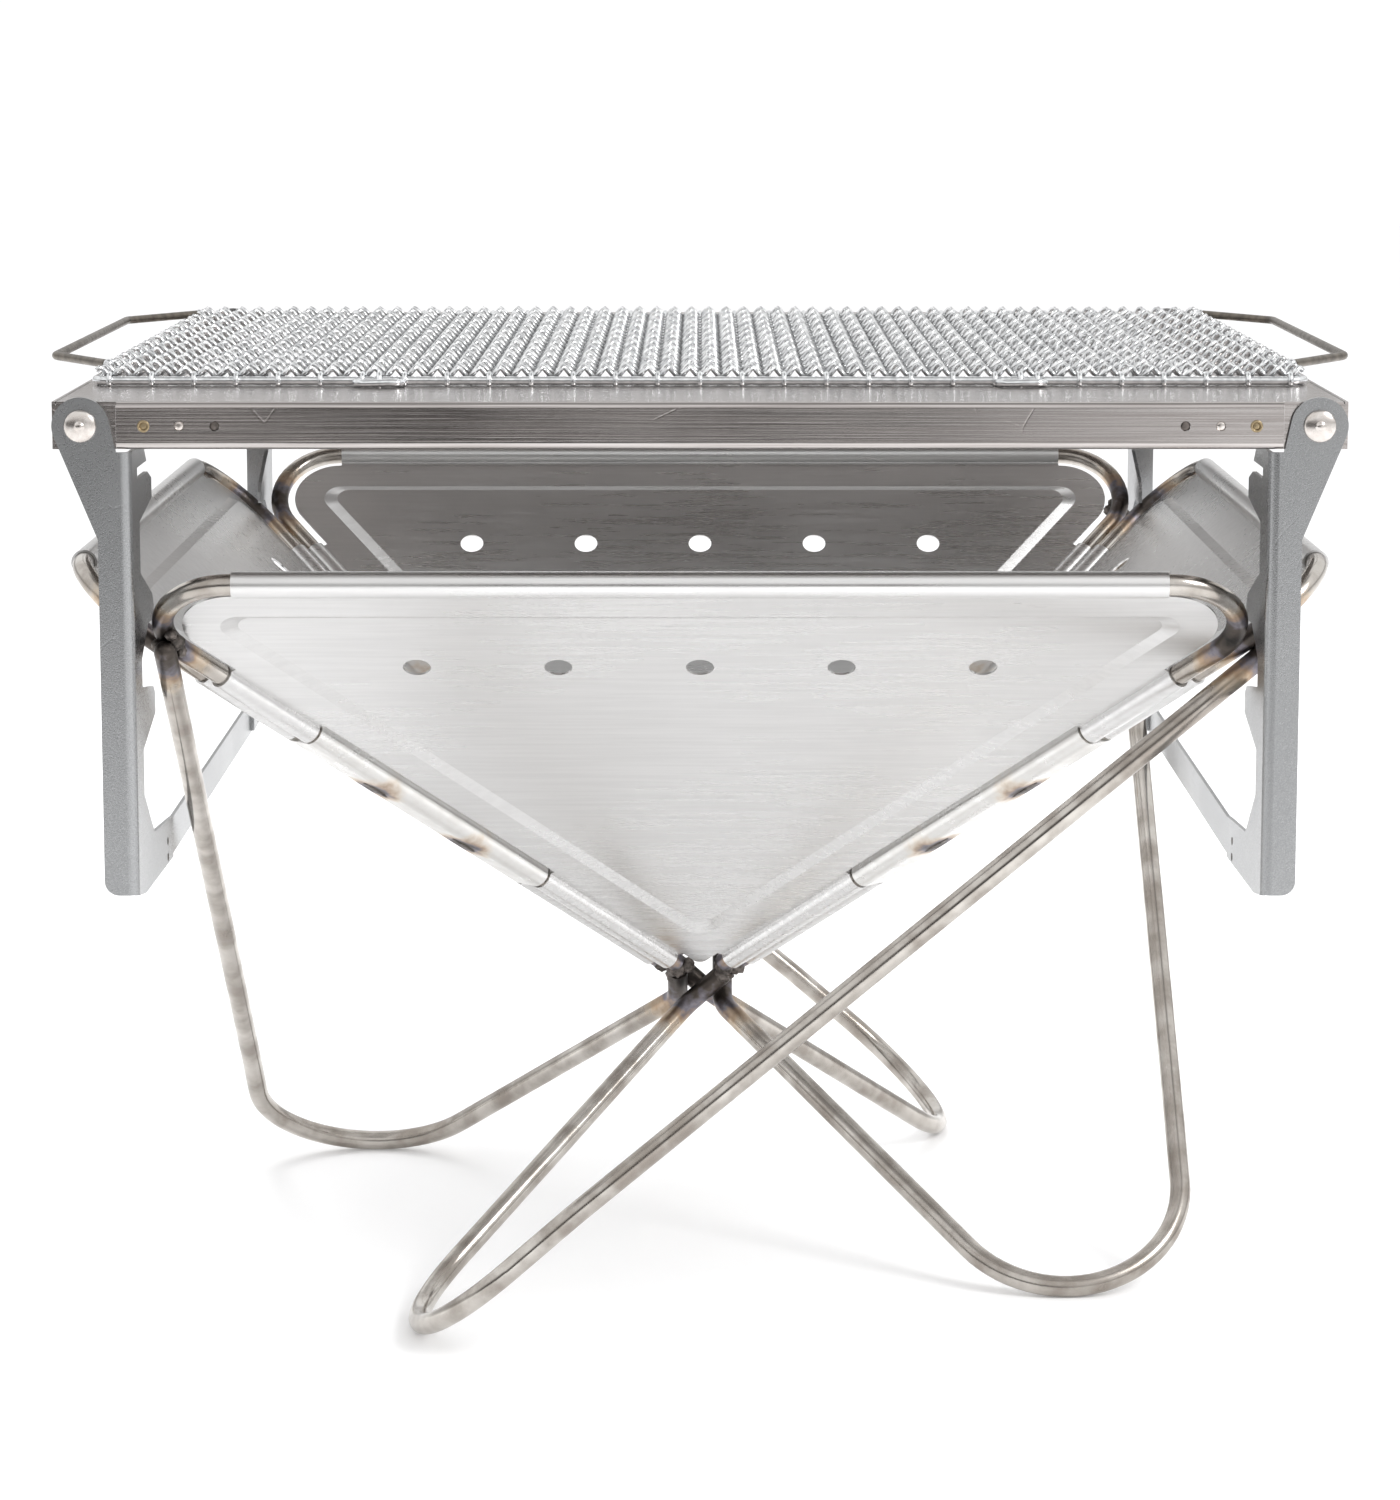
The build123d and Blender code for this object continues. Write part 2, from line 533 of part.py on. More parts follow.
def build():
    """Every node by name."""
    nodes = {}
    sheet = panel * panel_sheet()
    tube = panel * frame_tube()
    a_leg_tube = panel * leg_tube()
    sleeve = hinge_sleeve()
    for k, side in enumerate(("front", "right", "back", "left")):
        nodes[f"{side}_sheet"] = quarter_turn(sheet, k)
        nodes[f"{side}_frame_tube"] = quarter_turn(tube, k)
        nodes[f"{side}_leg_tube"] = quarter_turn(a_leg_tube, k)
    for k, corner in enumerate(("front_left", "front_right", "back_right", "back_left")):
        nodes[f"{corner}_hinge_sleeve"] = quarter_turn(sleeve, k)
    rail, plate, a_leg, strip = front_rail(), end_plate(), leg(), cross_strip()
    nodes["front_rail"] = rail
    nodes["rear_rail"] = mirror(rail, Plane.XZ)
    nodes["left_end_plate"] = plate
    nodes["right_end_plate"] = mirror(plate, Plane.YZ)
    nodes["left_front_leg"] = a_leg
    nodes["left_rear_leg"] = mirror(a_leg, Plane.XZ)
    nodes["right_front_leg"] = mirror(a_leg, Plane.YZ)
    nodes["right_rear_leg"] = mirror(mirror(a_leg, Plane.XZ), Plane.YZ)
    nodes["left_cross_strip"] = strip
    nodes["right_cross_strip"] = mirror(strip, Plane.YZ)
    left_rivets = [pivot_rivet(), mirror(pivot_rivet(), Plane.XZ)]
    nodes["leg_pivot_rivets"] = Compound(children=left_rivets + mirror_x(left_rivets))
    nodes["net_border_wire"] = net_border()
    nodes["net_long_rods"] = Compound(children=net_long_rods())
    nodes["net_cross_wires"] = Compound(children=net_cross_wires())
    nodes["net_stiffener_rods"] = Compound(children=net_stiffeners())
    nodes["net_left_handle"] = net_handle()
    nodes["net_right_handle"] = mirror(net_handle(), Plane.YZ)
    nodes["net_handle_collars"] = Compound(children=handle_collars() + mirror_x(handle_collars()))
    return nodes


def main():
    os.makedirs("parts", exist_ok=True)
    for name, shape in build().items():
        export_step(shape, f"parts/{name}.step")


main()
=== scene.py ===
"""Looks of a folding camp grill: its metal finishes, and the woven net, welds and small fittings."""

import logging
import math
from dataclasses import dataclass
from enum import Enum

import bpy
import bmesh
from mathutils import Matrix, Vector


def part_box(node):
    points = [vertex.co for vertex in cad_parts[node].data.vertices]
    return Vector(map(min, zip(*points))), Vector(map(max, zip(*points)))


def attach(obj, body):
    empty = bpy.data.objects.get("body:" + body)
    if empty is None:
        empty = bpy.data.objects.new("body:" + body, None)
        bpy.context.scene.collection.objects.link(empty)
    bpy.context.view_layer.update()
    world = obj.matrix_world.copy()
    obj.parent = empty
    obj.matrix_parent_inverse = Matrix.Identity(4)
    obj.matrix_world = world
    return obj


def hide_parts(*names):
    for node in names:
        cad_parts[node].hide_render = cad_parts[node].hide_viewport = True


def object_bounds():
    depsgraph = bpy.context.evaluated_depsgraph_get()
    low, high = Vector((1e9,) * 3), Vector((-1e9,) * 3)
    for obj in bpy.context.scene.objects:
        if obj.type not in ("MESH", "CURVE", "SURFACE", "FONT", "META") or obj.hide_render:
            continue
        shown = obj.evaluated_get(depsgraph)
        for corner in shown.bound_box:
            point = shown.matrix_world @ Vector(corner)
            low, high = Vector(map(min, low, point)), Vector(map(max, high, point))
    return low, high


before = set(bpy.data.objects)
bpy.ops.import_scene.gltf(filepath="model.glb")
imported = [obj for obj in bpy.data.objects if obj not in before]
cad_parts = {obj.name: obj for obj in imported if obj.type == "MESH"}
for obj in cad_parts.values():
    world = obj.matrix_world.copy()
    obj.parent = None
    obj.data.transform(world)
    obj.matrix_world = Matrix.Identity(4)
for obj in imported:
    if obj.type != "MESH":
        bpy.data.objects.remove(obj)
CAD_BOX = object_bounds()
LOG = logging.getLogger("camp_grill")
MM = 0.001
Value = float | tuple | bpy.types.NodeSocket
SIDES = ("front", "right", "back", "left")
CORNERS = ("front_left", "front_right", "back_right", "back_left")


class Finish(Enum):
    """The finishes that pieces are dressed in."""

    PRESSED_SHEET = "pressed_sheet"
    DRAWN_TUBE = "tube_steel"
    HINGE_WRAP = "hinge_sheet"
    BRUSHED_RAIL = "brushed_rail"
    GRAINED_PLATE = "grained_leg_plate"
    RIVET = "rivet_steel"
    NET_WIRE = "net_wire"
    CRIMPED_WIRE = "crimped_wire"
    HANDLE = "handle_wire"
    WELD = "weld"
    EYELET = "eyelet"


class Graph:
    """Small helper that adds nodes to a node tree and links them."""

    def __init__(self, tree: bpy.types.NodeTree) -> None:
        """Keeps the tree that nodes are added to."""
        self.tree = tree

    def add(self, kind: str, inputs: dict | None = None, **settings: object) -> bpy.types.Node:
        """Adds a node.

        Args:
            kind: The node's type name.
            inputs: Socket name or number to a value or to another node's output.
            settings: Properties of the node.

        Returns:
            The new node.
        """
        node = self.tree.nodes.new(kind)
        for name, value in settings.items():
            setattr(node, name, value)
        for key, value in (inputs or {}).items():
            if isinstance(value, bpy.types.NodeSocket):
                self.tree.links.new(value, node.inputs[key])
            else:
                node.inputs[key].default_value = value
        return node

    def math(self, operation: str, *values: Value, clamp: bool = False) -> bpy.types.NodeSocket:
        """Adds a math node and returns its output."""
        inputs = dict(enumerate(values))
        return self.add("ShaderNodeMath", inputs, operation=operation, use_clamp=clamp).outputs[0]

    def vector(self, operation: str, *values: Value, out: str = "Vector") -> bpy.types.NodeSocket:
        """Adds a vector math node and returns the named output."""
        return self.add("ShaderNodeVectorMath", dict(enumerate(values)), operation=operation).outputs[out]

    def span(self, value: Value, low: float, high: float, to_low: float = 0.0, to_high: float = 1.0,
             smooth: bool = True) -> bpy.types.NodeSocket:
        """Maps one span on to another, clamped at both ends.

        Args:
            value: The value or output to map.
            low: Where the span starts.
            high: Where the span ends.
            to_low: What the start becomes.
            to_high: What the end becomes.
            smooth: Whether it eases in and out.

        Returns:
            The mapped output.
        """
        kind = "SMOOTHSTEP" if smooth else "LINEAR"
        inputs = {"Value": value, "From Min": low, "From Max": high, "To Min": to_low, "To Max": to_high}
        return self.add("ShaderNodeMapRange", inputs, interpolation_type=kind).outputs["Result"]

    def mix(self, factor: Value, first: Value, second: Value) -> bpy.types.NodeSocket:
        """Mixes two colours.

        Args:
            factor: The share of the second colour.
            first: The first colour.
            second: The second colour.

        Returns:
            The mixed colour.
        """
        node = self.add("ShaderNodeMix", data_type="RGBA")
        for socket, value in zip((node.inputs[0], node.inputs[6], node.inputs[7]), (factor, first, second)):
            if isinstance(value, bpy.types.NodeSocket):
                self.tree.links.new(value, socket)
            else:
                socket.default_value = value
        return node.outputs[2]

    def ramp(self, value: bpy.types.NodeSocket, stops: list[tuple[float, tuple]]) -> bpy.types.NodeSocket:
        """Adds a colour ramp.

        Args:
            value: Where on the ramp to read.
            stops: Each stop's place and colour.

        Returns:
            The ramp's colour.
        """
        node = self.add("ShaderNodeValToRGB", {"Fac": value})
        elements = node.color_ramp.elements
        while len(elements) < len(stops):
            elements.new(0.5)
        for element, (place, colour) in zip(elements, stops):
            element.position = place
            element.color = (*colour, 1.0)
        return node.outputs["Color"]


def new_group(name: str, inputs: dict[str, float | tuple],
              outputs: dict[str, str]) -> tuple[Graph, bpy.types.Node, bpy.types.Node]:
    """Starts a shader node group with named sockets.

    Args:
        name: The group's name.
        inputs: Input name to its default; a tuple makes a vector, a number a float.
        outputs: Output name to its socket type.

    Returns:
        The group's graph, its input node and its output node.
    """
    tree = bpy.data.node_groups.new(name, "ShaderNodeTree")
    for label, default in inputs.items():
        kind = "NodeSocketVector" if isinstance(default, tuple) else "NodeSocketFloat"
        socket = tree.interface.new_socket(name=label, in_out="INPUT", socket_type=kind)
        socket.default_value = default
    for label, kind in outputs.items():
        tree.interface.new_socket(name=label, in_out="OUTPUT", socket_type=kind)
    graph = Graph(tree)
    return graph, graph.add("NodeGroupInput"), graph.add("NodeGroupOutput")


def grain_group() -> bpy.types.NodeTree:
    """Stretched noise: brush lines where one stretch is far larger than the others.

    Returns:
        The group's node tree.
    """
    graph, inp, out = new_group(
        "metal_grain",
        {"Position": (0.0, 0.0, 0.0), "Stretch": (40.0, 900.0, 900.0), "Detail": 6.0},
        {"Grain": "NodeSocketFloat"},
    )
    place = graph.vector("MULTIPLY", inp.outputs["Position"], inp.outputs["Stretch"])
    noise = graph.add("ShaderNodeTexNoise", {"Vector": place, "Scale": 1.0, "Detail": inp.outputs["Detail"]})
    graph.tree.links.new(noise.outputs["Fac"], out.inputs["Grain"])
    return graph.tree


def scuff_group() -> bpy.types.NodeTree:
    """Sparse fine scratches that run in wandering directions, and soft worn patches.

    Returns:
        The group's node tree.
    """
    graph, inp, out = new_group(
        "scuffs",
        {"Position": (0.0, 0.0, 0.0), "Size": 60.0, "Amount": 0.5},
        {"Scratch": "NodeSocketFloat", "Patch": "NodeSocketFloat"},
    )
    warp = graph.add("ShaderNodeTexNoise", {"Vector": inp.outputs["Position"], "Scale": 14.0})
    bent = graph.vector("MULTIPLY_ADD", warp.outputs["Color"], (0.05, 0.05, 0.05), inp.outputs["Position"])
    wave = graph.add("ShaderNodeTexVoronoi", {"Vector": bent, "Scale": inp.outputs["Size"]},
                     feature="DISTANCE_TO_EDGE")
    line = graph.span(wave.outputs["Distance"], 0.0, 0.02, 1.0, 0.0)
    gate = graph.add("ShaderNodeTexNoise", {"Vector": inp.outputs["Position"], "Scale": 38.0, "Detail": 3.0})
    kept = graph.math("MULTIPLY", line, graph.span(gate.outputs["Fac"], 0.56, 0.66))
    scratch = graph.math("MULTIPLY", kept, inp.outputs["Amount"])
    patch = graph.add("ShaderNodeTexNoise", {"Vector": inp.outputs["Position"], "Scale": 9.0, "Detail": 5.0})
    graph.tree.links.new(scratch, out.inputs["Scratch"])
    graph.tree.links.new(graph.span(patch.outputs["Fac"], 0.35, 0.7), out.inputs["Patch"])
    return graph.tree


def heat_group() -> bpy.types.NodeTree:
    """Temper colours round a weld, from soot at its middle through blue and brown to straw.

    Returns:
        The group's node tree.
    """
    graph, inp, out = new_group(
        "heat_tint",
        {"Position": (0.0, 0.0, 0.0), "Distance": 0.0, "Reach": 0.02},
        {"Tint": "NodeSocketColor", "Mask": "NodeSocketFloat"},
    )
    position = inp.outputs["Position"]
    noise = graph.add("ShaderNodeTexNoise", {"Vector": position, "Scale": 240.0, "Detail": 4.0})
    share = graph.math("DIVIDE", inp.outputs["Distance"], inp.outputs["Reach"])
    wander = graph.math("MULTIPLY_ADD", noise.outputs["Fac"], 0.5, -0.25)
    place = graph.math("ADD", share, wander, clamp=True)
    tint = graph.ramp(place, [
        (0.0, (0.03, 0.028, 0.027)), (0.3, (0.10, 0.085, 0.075)), (0.45, (0.20, 0.19, 0.22)),
        (0.6, (0.40, 0.26, 0.15)), (0.78, (0.66, 0.50, 0.32)), (1.0, (0.80, 0.74, 0.64)),
    ])
    graph.tree.links.new(tint, out.inputs["Tint"])
    graph.tree.links.new(graph.span(place, 0.35, 1.0, 1.0, 0.0), out.inputs["Mask"])
    return graph.tree


@dataclass(frozen=True)
class HeatSpot:
    """A place that was welded, folded by symmetry into one quarter of the grill."""

    place: tuple[float, float, float]
    reach: float
    widen: tuple[float, float, float] = (1.0, 1.0, 1.0)


@dataclass(frozen=True)
class SteelFinish:
    """A steel finish: its colour, grain, wear and heat marks, and painted shade darkening its lower part
    where set.
    """

    finish: Finish
    colour: tuple[float, float, float]
    dark: tuple[float, float, float]
    roughness: float
    rough_spread: float = 0.12
    stretch: tuple[float, float, float] = (60.0, 900.0, 900.0)
    grain_bump: float = 0.05
    colour_grain: float = 0.5
    scuff: float = 0.5
    scuff_size: float = 45.0
    relief: float = 0.2 * MM
    heat: tuple[HeatSpot, ...] = ()
    # Painted shade: heights over which the colour goes from painted shade at the bottom to the piece's own
    # colour; None gives no painted shade.
    painted_shade_below: tuple[float, float] | None = None

    def folded_place(self, graph: Graph, position: bpy.types.NodeSocket) -> bpy.types.NodeSocket:
        """Folds a position so that all four corners of the grill share one heat mark.

        Args:
            graph: The material's graph.
            position: The point on the piece.

        Returns:
            The larger and the smaller of the distances to the middle, and the height.
        """
        part = graph.add("ShaderNodeSeparateXYZ", {"Vector": graph.vector("ABSOLUTE", position)})
        far = graph.math("MAXIMUM", part.outputs["X"], part.outputs["Y"])
        near = graph.math("MINIMUM", part.outputs["X"], part.outputs["Y"])
        joined = graph.add("ShaderNodeCombineXYZ", {"X": far, "Y": near, "Z": part.outputs["Z"]})
        return joined.outputs["Vector"]

    def build(self, groups: dict[str, bpy.types.NodeTree]) -> bpy.types.Material:
        """Makes the material.

        Args:
            groups: The shared node groups by name.

        Returns:
            The new material.
        """
        material = bpy.data.materials.new(self.finish.value)
        material.use_nodes = True
        material.node_tree.nodes.clear()
        graph = Graph(material.node_tree)
        position = graph.add("ShaderNodeTexCoord").outputs["Object"]
        grain = graph.add("ShaderNodeGroup", node_tree=groups["grain"])
        graph.tree.links.new(position, grain.inputs["Position"])
        grain.inputs["Stretch"].default_value = self.stretch
        scuffs = graph.add("ShaderNodeGroup", node_tree=groups["scuffs"])
        graph.tree.links.new(position, scuffs.inputs["Position"])
        scuffs.inputs["Size"].default_value = self.scuff_size
        scuffs.inputs["Amount"].default_value = self.scuff
        lines = graph.span(grain.outputs["Grain"], 0.3, 0.7, 0.0, self.colour_grain)
        colour = graph.mix(lines, (*self.colour, 1.0), (*self.dark, 1.0))
        # Painted shade: the piece is darkened towards the bottom, in the low parts of the crimps where shade
        # falls, and keeps its own colour on the crests.
        if self.painted_shade_below:
            height = graph.add("ShaderNodeSeparateXYZ", {"Vector": position}).outputs["Z"]
            crest_unshaded_share = graph.span(height, *self.painted_shade_below)
            shade = tuple(0.35 * part for part in self.dark)
            colour = graph.mix(crest_unshaded_share, (*shade, 1.0), colour)
        worn = graph.math("MULTIPLY", scuffs.outputs["Patch"], 0.35 * self.scuff)
        colour = graph.mix(worn, colour, (*self.dark, 1.0))
        base = self.roughness
        rough = graph.span(grain.outputs["Grain"], 0.25, 0.75, base - self.rough_spread / 2,
                           base + self.rough_spread / 2, smooth=False)
        rough = graph.math("MULTIPLY_ADD", scuffs.outputs["Patch"], self.rough_spread * 0.6, rough)
        folded = self.folded_place(graph, position) if self.heat else position
        for spot in self.heat:
            offset = graph.vector("SUBTRACT", folded, tuple(spot.place))
            scaled = graph.vector("MULTIPLY", offset, tuple(spot.widen))
            heat = graph.add("ShaderNodeGroup", node_tree=groups["heat"])
            graph.tree.links.new(position, heat.inputs["Position"])
            graph.tree.links.new(graph.vector("LENGTH", scaled, out="Value"), heat.inputs["Distance"])
            heat.inputs["Reach"].default_value = spot.reach
            colour = graph.mix(heat.outputs["Mask"], colour, heat.outputs["Tint"])
            rough = graph.math("MULTIPLY_ADD", heat.outputs["Mask"], 0.22, rough, clamp=True)
        height = graph.math("SUBTRACT", grain.outputs["Grain"], scuffs.outputs["Scratch"])
        relief = {"Strength": self.grain_bump, "Distance": self.relief, "Height": height}
        bump = graph.add("ShaderNodeBump", relief)
        shader = graph.add("ShaderNodeBsdfPrincipled", {
            "Base Color": colour, "Roughness": rough, "Metallic": 1.0, "Normal": bump.outputs["Normal"],
        })
        output = graph.add("ShaderNodeOutputMaterial")
        graph.tree.links.new(shader.outputs["BSDF"], output.inputs["Surface"])
        return material


@dataclass(frozen=True)
class PanelGeometry:
    """Where a pit panel lies: across it, up its slope and out of its plane, in metres."""

    half: float = 221 * MM
    rim: float = 290 * MM
    apex: float = 96 * MM
    tube_inset: float = 5.65 * MM

    @property
    def slope(self) -> float:
        """Length of the panel from the apex up to the rim."""
        return math.hypot(self.half, self.rim - self.apex)

    @property
    def edge_angle(self) -> float:
        """Half of the panel's angle at the apex."""
        return math.atan2(self.half, self.slope)

    def point(self, across: float, up: float, out: float = 0.0, turns: int = 0) -> Vector:
        """Gives a point of a panel in the grill's own frame.

        Args:
            across: Distance across the panel from its middle.
            up: Distance up the slope from the apex.
            out: Distance out of the pit, square to the panel.
            turns: Quarter turns from the front panel.

        Returns:
            The point.
        """
        rise, run = (self.rim - self.apex) / self.slope, self.half / self.slope
        place = Vector((across, -run * up - rise * out, self.apex + rise * up - run * out))
        return Matrix.Rotation(math.radians(90 * turns), 3, "Z") @ place

    def edge(self, up: float) -> float:
        """Distance across the panel to the edge tube's centre line, at a height up its slope."""
        return (up - self.tube_inset / math.sin(self.edge_angle)) * math.tan(self.edge_angle)


def mesh_piece(name: str, verts: list[Vector], faces: list[tuple[int, ...]], body: str,
               material: bpy.types.Material, smooth: bool = True) -> bpy.types.Object:
    """Makes a mesh piece that rides on a body.

    Args:
        name: The piece's name.
        verts: Its points.
        faces: Its faces, as numbers of points.
        body: The body it rides on.
        material: Its material.
        smooth: Whether its faces are shaded smooth.

    Returns:
        The new object.
    """
    mesh = bpy.data.meshes.new(name)
    mesh.from_pydata([tuple(v) for v in verts], [], faces)
    mesh.polygons.foreach_set("use_smooth", [smooth] * len(mesh.polygons))
    mesh.materials.append(material)
    mesh.update()
    piece = bpy.data.objects.new(name, mesh)
    bpy.context.scene.collection.objects.link(piece)
    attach(piece, body)
    LOG.info("made %s on %s with %d faces", name, body, len(faces))
    return piece


class GatheredMesh:
    """Gathers many small meshes into one piece."""

    def __init__(self) -> None:
        """Starts with no points and no faces."""
        self.verts: list[Vector] = []
        self.faces: list[tuple[int, ...]] = []

    def piece(self, name: str, body: str, slot: str, material: bpy.types.Material) -> bpy.types.Object:
        """Makes the gathered meshes into one piece that rides on a body, and returns it."""
        return mesh_piece(name, self.verts, self.faces, body, material)


class WireMesh(GatheredMesh):
    """Gathers round wires into one piece."""

    def __init__(self, sides: int) -> None:
        """Sets how many sides each wire has."""
        super().__init__()
        self.sides = sides

    def add(self, path: list[Vector], radius: float, closed: bool = False) -> None:
        """Adds a round wire along a path.

        Args:
            path: The wire's centre line.
            radius: The wire's radius.
            closed: Whether its last point joins its first.
        """
        start, count = len(self.verts), len(path)
        side = None
        for n, place in enumerate(path):
            ahead = path[(n + 1) % count] if closed or n < count - 1 else place
            behind = path[n - 1] if closed or n > 0 else place
            along = (ahead - behind).normalized()
            if side is None:
                side = along.orthogonal().normalized()
            side = (side - along * side.dot(along)).normalized()
            other = along.cross(side)
            for k in range(self.sides):
                turn = 2 * math.pi * k / self.sides
                self.verts.append(place + radius * (math.cos(turn) * side + math.sin(turn) * other))
        for n in range(count if closed else count - 1):
            here, there = start + n * self.sides, start + (n + 1) % count * self.sides
            for k in range(self.sides):
                after = (k + 1) % self.sides
                self.faces.append((here + k, here + after, there + after, there + k))
        if not closed:
            last = start + (count - 1) * self.sides
            self.faces.append(tuple(start + k for k in reversed(range(self.sides))))
            self.faces.append(tuple(last + k for k in range(self.sides)))


class BeadMesh(GatheredMesh):
    """Gathers lumpy round beads, such as welds, into one piece."""

    def add(self, centre: Vector, axes: tuple[Vector, Vector, Vector], rough: float, seed: float) -> None:
        """Adds a bead.

        Args:
            centre: The bead's middle.
            axes: Its three half-axes.
            rough: How lumpy it is, as a share of its size.
            seed: Sets this bead's own lumps.
        """
        ball = bmesh.new()
        bmesh.ops.create_icosphere(ball, subdivisions=3, radius=1.0)
        start = len(self.verts)
        for vert in ball.verts:
            x, y, z = vert.co
            lump = math.sin(5 * x + seed) * math.sin(6 * y + 2 * seed) + 0.6 * math.sin(11 * z + 9 * x + seed)
            spot = vert.co * (1 + rough * lump)
            self.verts.append(centre + axes[0] * spot.x + axes[1] * spot.y + axes[2] * spot.z)
        self.faces += [tuple(start + v.index for v in face.verts) for face in ball.faces]
        ball.free()


@dataclass(frozen=True)
class Bead:
    """A round weld bead on a panel, in millimetres: its place across and up, and its half-size."""

    across: float
    up: float
    size: float

    def axes(self) -> tuple[Vector, Vector, Vector]:
        """Gives the bead's three half-axes in metres."""
        return tuple(Vector(v) * self.size * MM for v in ((1, 0, 0), (0, 1, 0), (0, 0, 1)))


@dataclass
class FirePit:
    """The four pressed panels with their tube frames, legs, hinges and welds."""

    geometry: PanelGeometry
    corner_weld_up: float = 263.5 * MM
    corner_weld_across: float = 187 * MM
    plug_ups: tuple[float, float] = (122 * MM, 163 * MM)
    plug_length: float = 6.6 * MM
    plug_width: float = 1.9 * MM
    plug_rise: float = 0.55 * MM
    plug_lumps: float = 0.07
    sleeve_radius: float = 4.6 * MM
    sleeve_step: float = 10 * MM
    corner_weld_out: float = 3.6 * MM
    corner_lumps: float = 0.12
    apex_lumps: float = 0.13
    corner_beads: tuple[Bead, ...] = (
        Bead(3.6, 0, 2.9), Bead(4.4, -6, 2.3), Bead(2.2, 4.5, 2.1), Bead(-3.4, -2, 2.0),
    )
    apex_beads: tuple[Bead, ...] = (
        Bead(-9.5, 18.5, 4.4), Bead(9.5, 20.0, 3.9), Bead(-10.5, 12.0, 3.4), Bead(-5.0, 19.5, 3.0),
    )

    def dress(self, materials: dict[Finish, bpy.types.Material]) -> None:
        """Gives the pit's own pieces their finishes.

        Args:
            materials: The materials by finish.
        """
        for side in SIDES:
            dress_node(f"{side}_sheet", materials[Finish.PRESSED_SHEET])
            dress_node(f"{side}_frame_tube", materials[Finish.DRAWN_TUBE])
            dress_node(f"{side}_leg_tube", materials[Finish.DRAWN_TUBE])
        for corner in CORNERS:
            dress_node(f"{corner}_hinge_sleeve", materials[Finish.HINGE_WRAP])

    def sleeve_place(self, up: float, turns: int) -> tuple[Vector, Vector, Vector]:
        """Gives where a hinge sleeve lies.

        Args:
            up: Height up the slope.
            turns: Quarter turns from the front panel's left sleeve.

        Returns:
            The sleeve's middle at that height, the direction it runs and the direction out of the pit.
        """
        lower = self.sleeve_middle(up, turns)
        upper = self.sleeve_middle(up + self.sleeve_step, turns)
        along = (upper - lower).normalized()
        corner = Vector((lower.x, lower.y, 0)).normalized()
        outward = (corner - along * corner.dot(along)).normalized()
        return lower, along, outward

    def sleeve_middle(self, up: float, turns: int) -> Vector:
        """Gives the point midway between the two tubes inside a hinge sleeve.

        Args:
            up: Height up the slope.
            turns: Quarter turns from the front panel's left sleeve.

        Returns:
            The point.
        """
        here = self.geometry.point(-self.geometry.edge(up), up, 0, turns)
        beside = self.geometry.point(self.geometry.edge(up), up, 0, turns - 1)
        return (here + beside) / 2

    def sheet_heat(self) -> tuple[HeatSpot, ...]:
        """Gives the heat mark on the sheets' tips."""
        return (HeatSpot((0.0, 0.0, 108 * MM), 22 * MM),)

    def tube_heat(self) -> tuple[HeatSpot, ...]:
        """Gives the heat marks on the tubes, at the corner welds and the apex.

        Returns:
            The marks.
        """
        weld = self.geometry.point(-self.corner_weld_across, self.corner_weld_up, 4 * MM)
        corner = (max(-weld.x, -weld.y), min(-weld.x, -weld.y), weld.z)
        return HeatSpot(corner, 26 * MM), HeatSpot((6 * MM, 6 * MM, 105 * MM), 34 * MM)

    def sleeve_heat(self) -> tuple[HeatSpot, ...]:
        """Gives the heat marks on the hinge sleeves, at the plug welds and the apex.

        Returns:
            The marks.
        """
        marks = []
        for up in self.plug_ups:
            middle, _, outward = self.sleeve_place(up, 0)
            spot = middle + outward * self.sleeve_radius
            marks.append(HeatSpot((abs(spot.x), abs(spot.y), spot.z), 10.5 * MM, (0.8, 0.8, 0.8)))
        return (*marks, HeatSpot((0.0, 0.0, 105 * MM), 50 * MM))

    def add_plug_welds(self, material: bpy.types.Material) -> None:
        """Makes the two long plug welds on the outside of each hinge sleeve.

        Args:
            material: The piece's material.
        """
        beads = BeadMesh()
        for turns in range(4):
            for up in self.plug_ups:
                middle, along, outward = self.sleeve_place(up, turns)
                across = along.cross(outward)
                axes = (along * self.plug_length, across * self.plug_width, outward * self.plug_rise)
                seed = up * 900 + turns
                beads.add(middle + outward * self.sleeve_radius, axes, self.plug_lumps, seed)
        beads.piece("hinge_plug_welds", "pit", Finish.HINGE_WRAP.value, material)

    def add_corner_welds(self, material: bpy.types.Material) -> None:
        """Makes the weld where each leg's top end lies on its corner loop.

        Args:
            material: The piece's material.
        """
        beads = BeadMesh()
        for turns in range(4):
            for bead in self.corner_beads:
                across = bead.across * MM - self.corner_weld_across
                up = bead.up * MM + self.corner_weld_up
                spot = self.geometry.point(across, up, self.corner_weld_out, turns)
                beads.add(spot, bead.axes(), self.corner_lumps, bead.up + bead.across + turns)
        beads.piece("corner_welds", "pit", Finish.DRAWN_TUBE.value, material)

    def add_apex_welds(self, material: bpy.types.Material) -> None:
        """Makes the cluster of welds that joins the tube ends and the legs' ends at the apex.

        Args:
            material: The piece's material.
        """
        beads = BeadMesh()
        for turns in range(4):
            for bead in self.apex_beads:
                spot = self.geometry.point(bead.across * MM, bead.up * MM, 0, turns)
                beads.add(spot, bead.axes(), self.apex_lumps, bead.across + bead.up * 0.7 + turns)
        beads.piece("apex_welds", "pit", Finish.DRAWN_TUBE.value, material)

    def build(self, materials: dict[Finish, bpy.types.Material]) -> None:
        """Dresses the pit and adds its welds.

        Args:
            materials: The materials by finish.
        """
        self.dress(materials)
        self.add_plug_welds(materials[Finish.WELD])
        self.add_corner_welds(materials[Finish.WELD])
        self.add_apex_welds(materials[Finish.WELD])


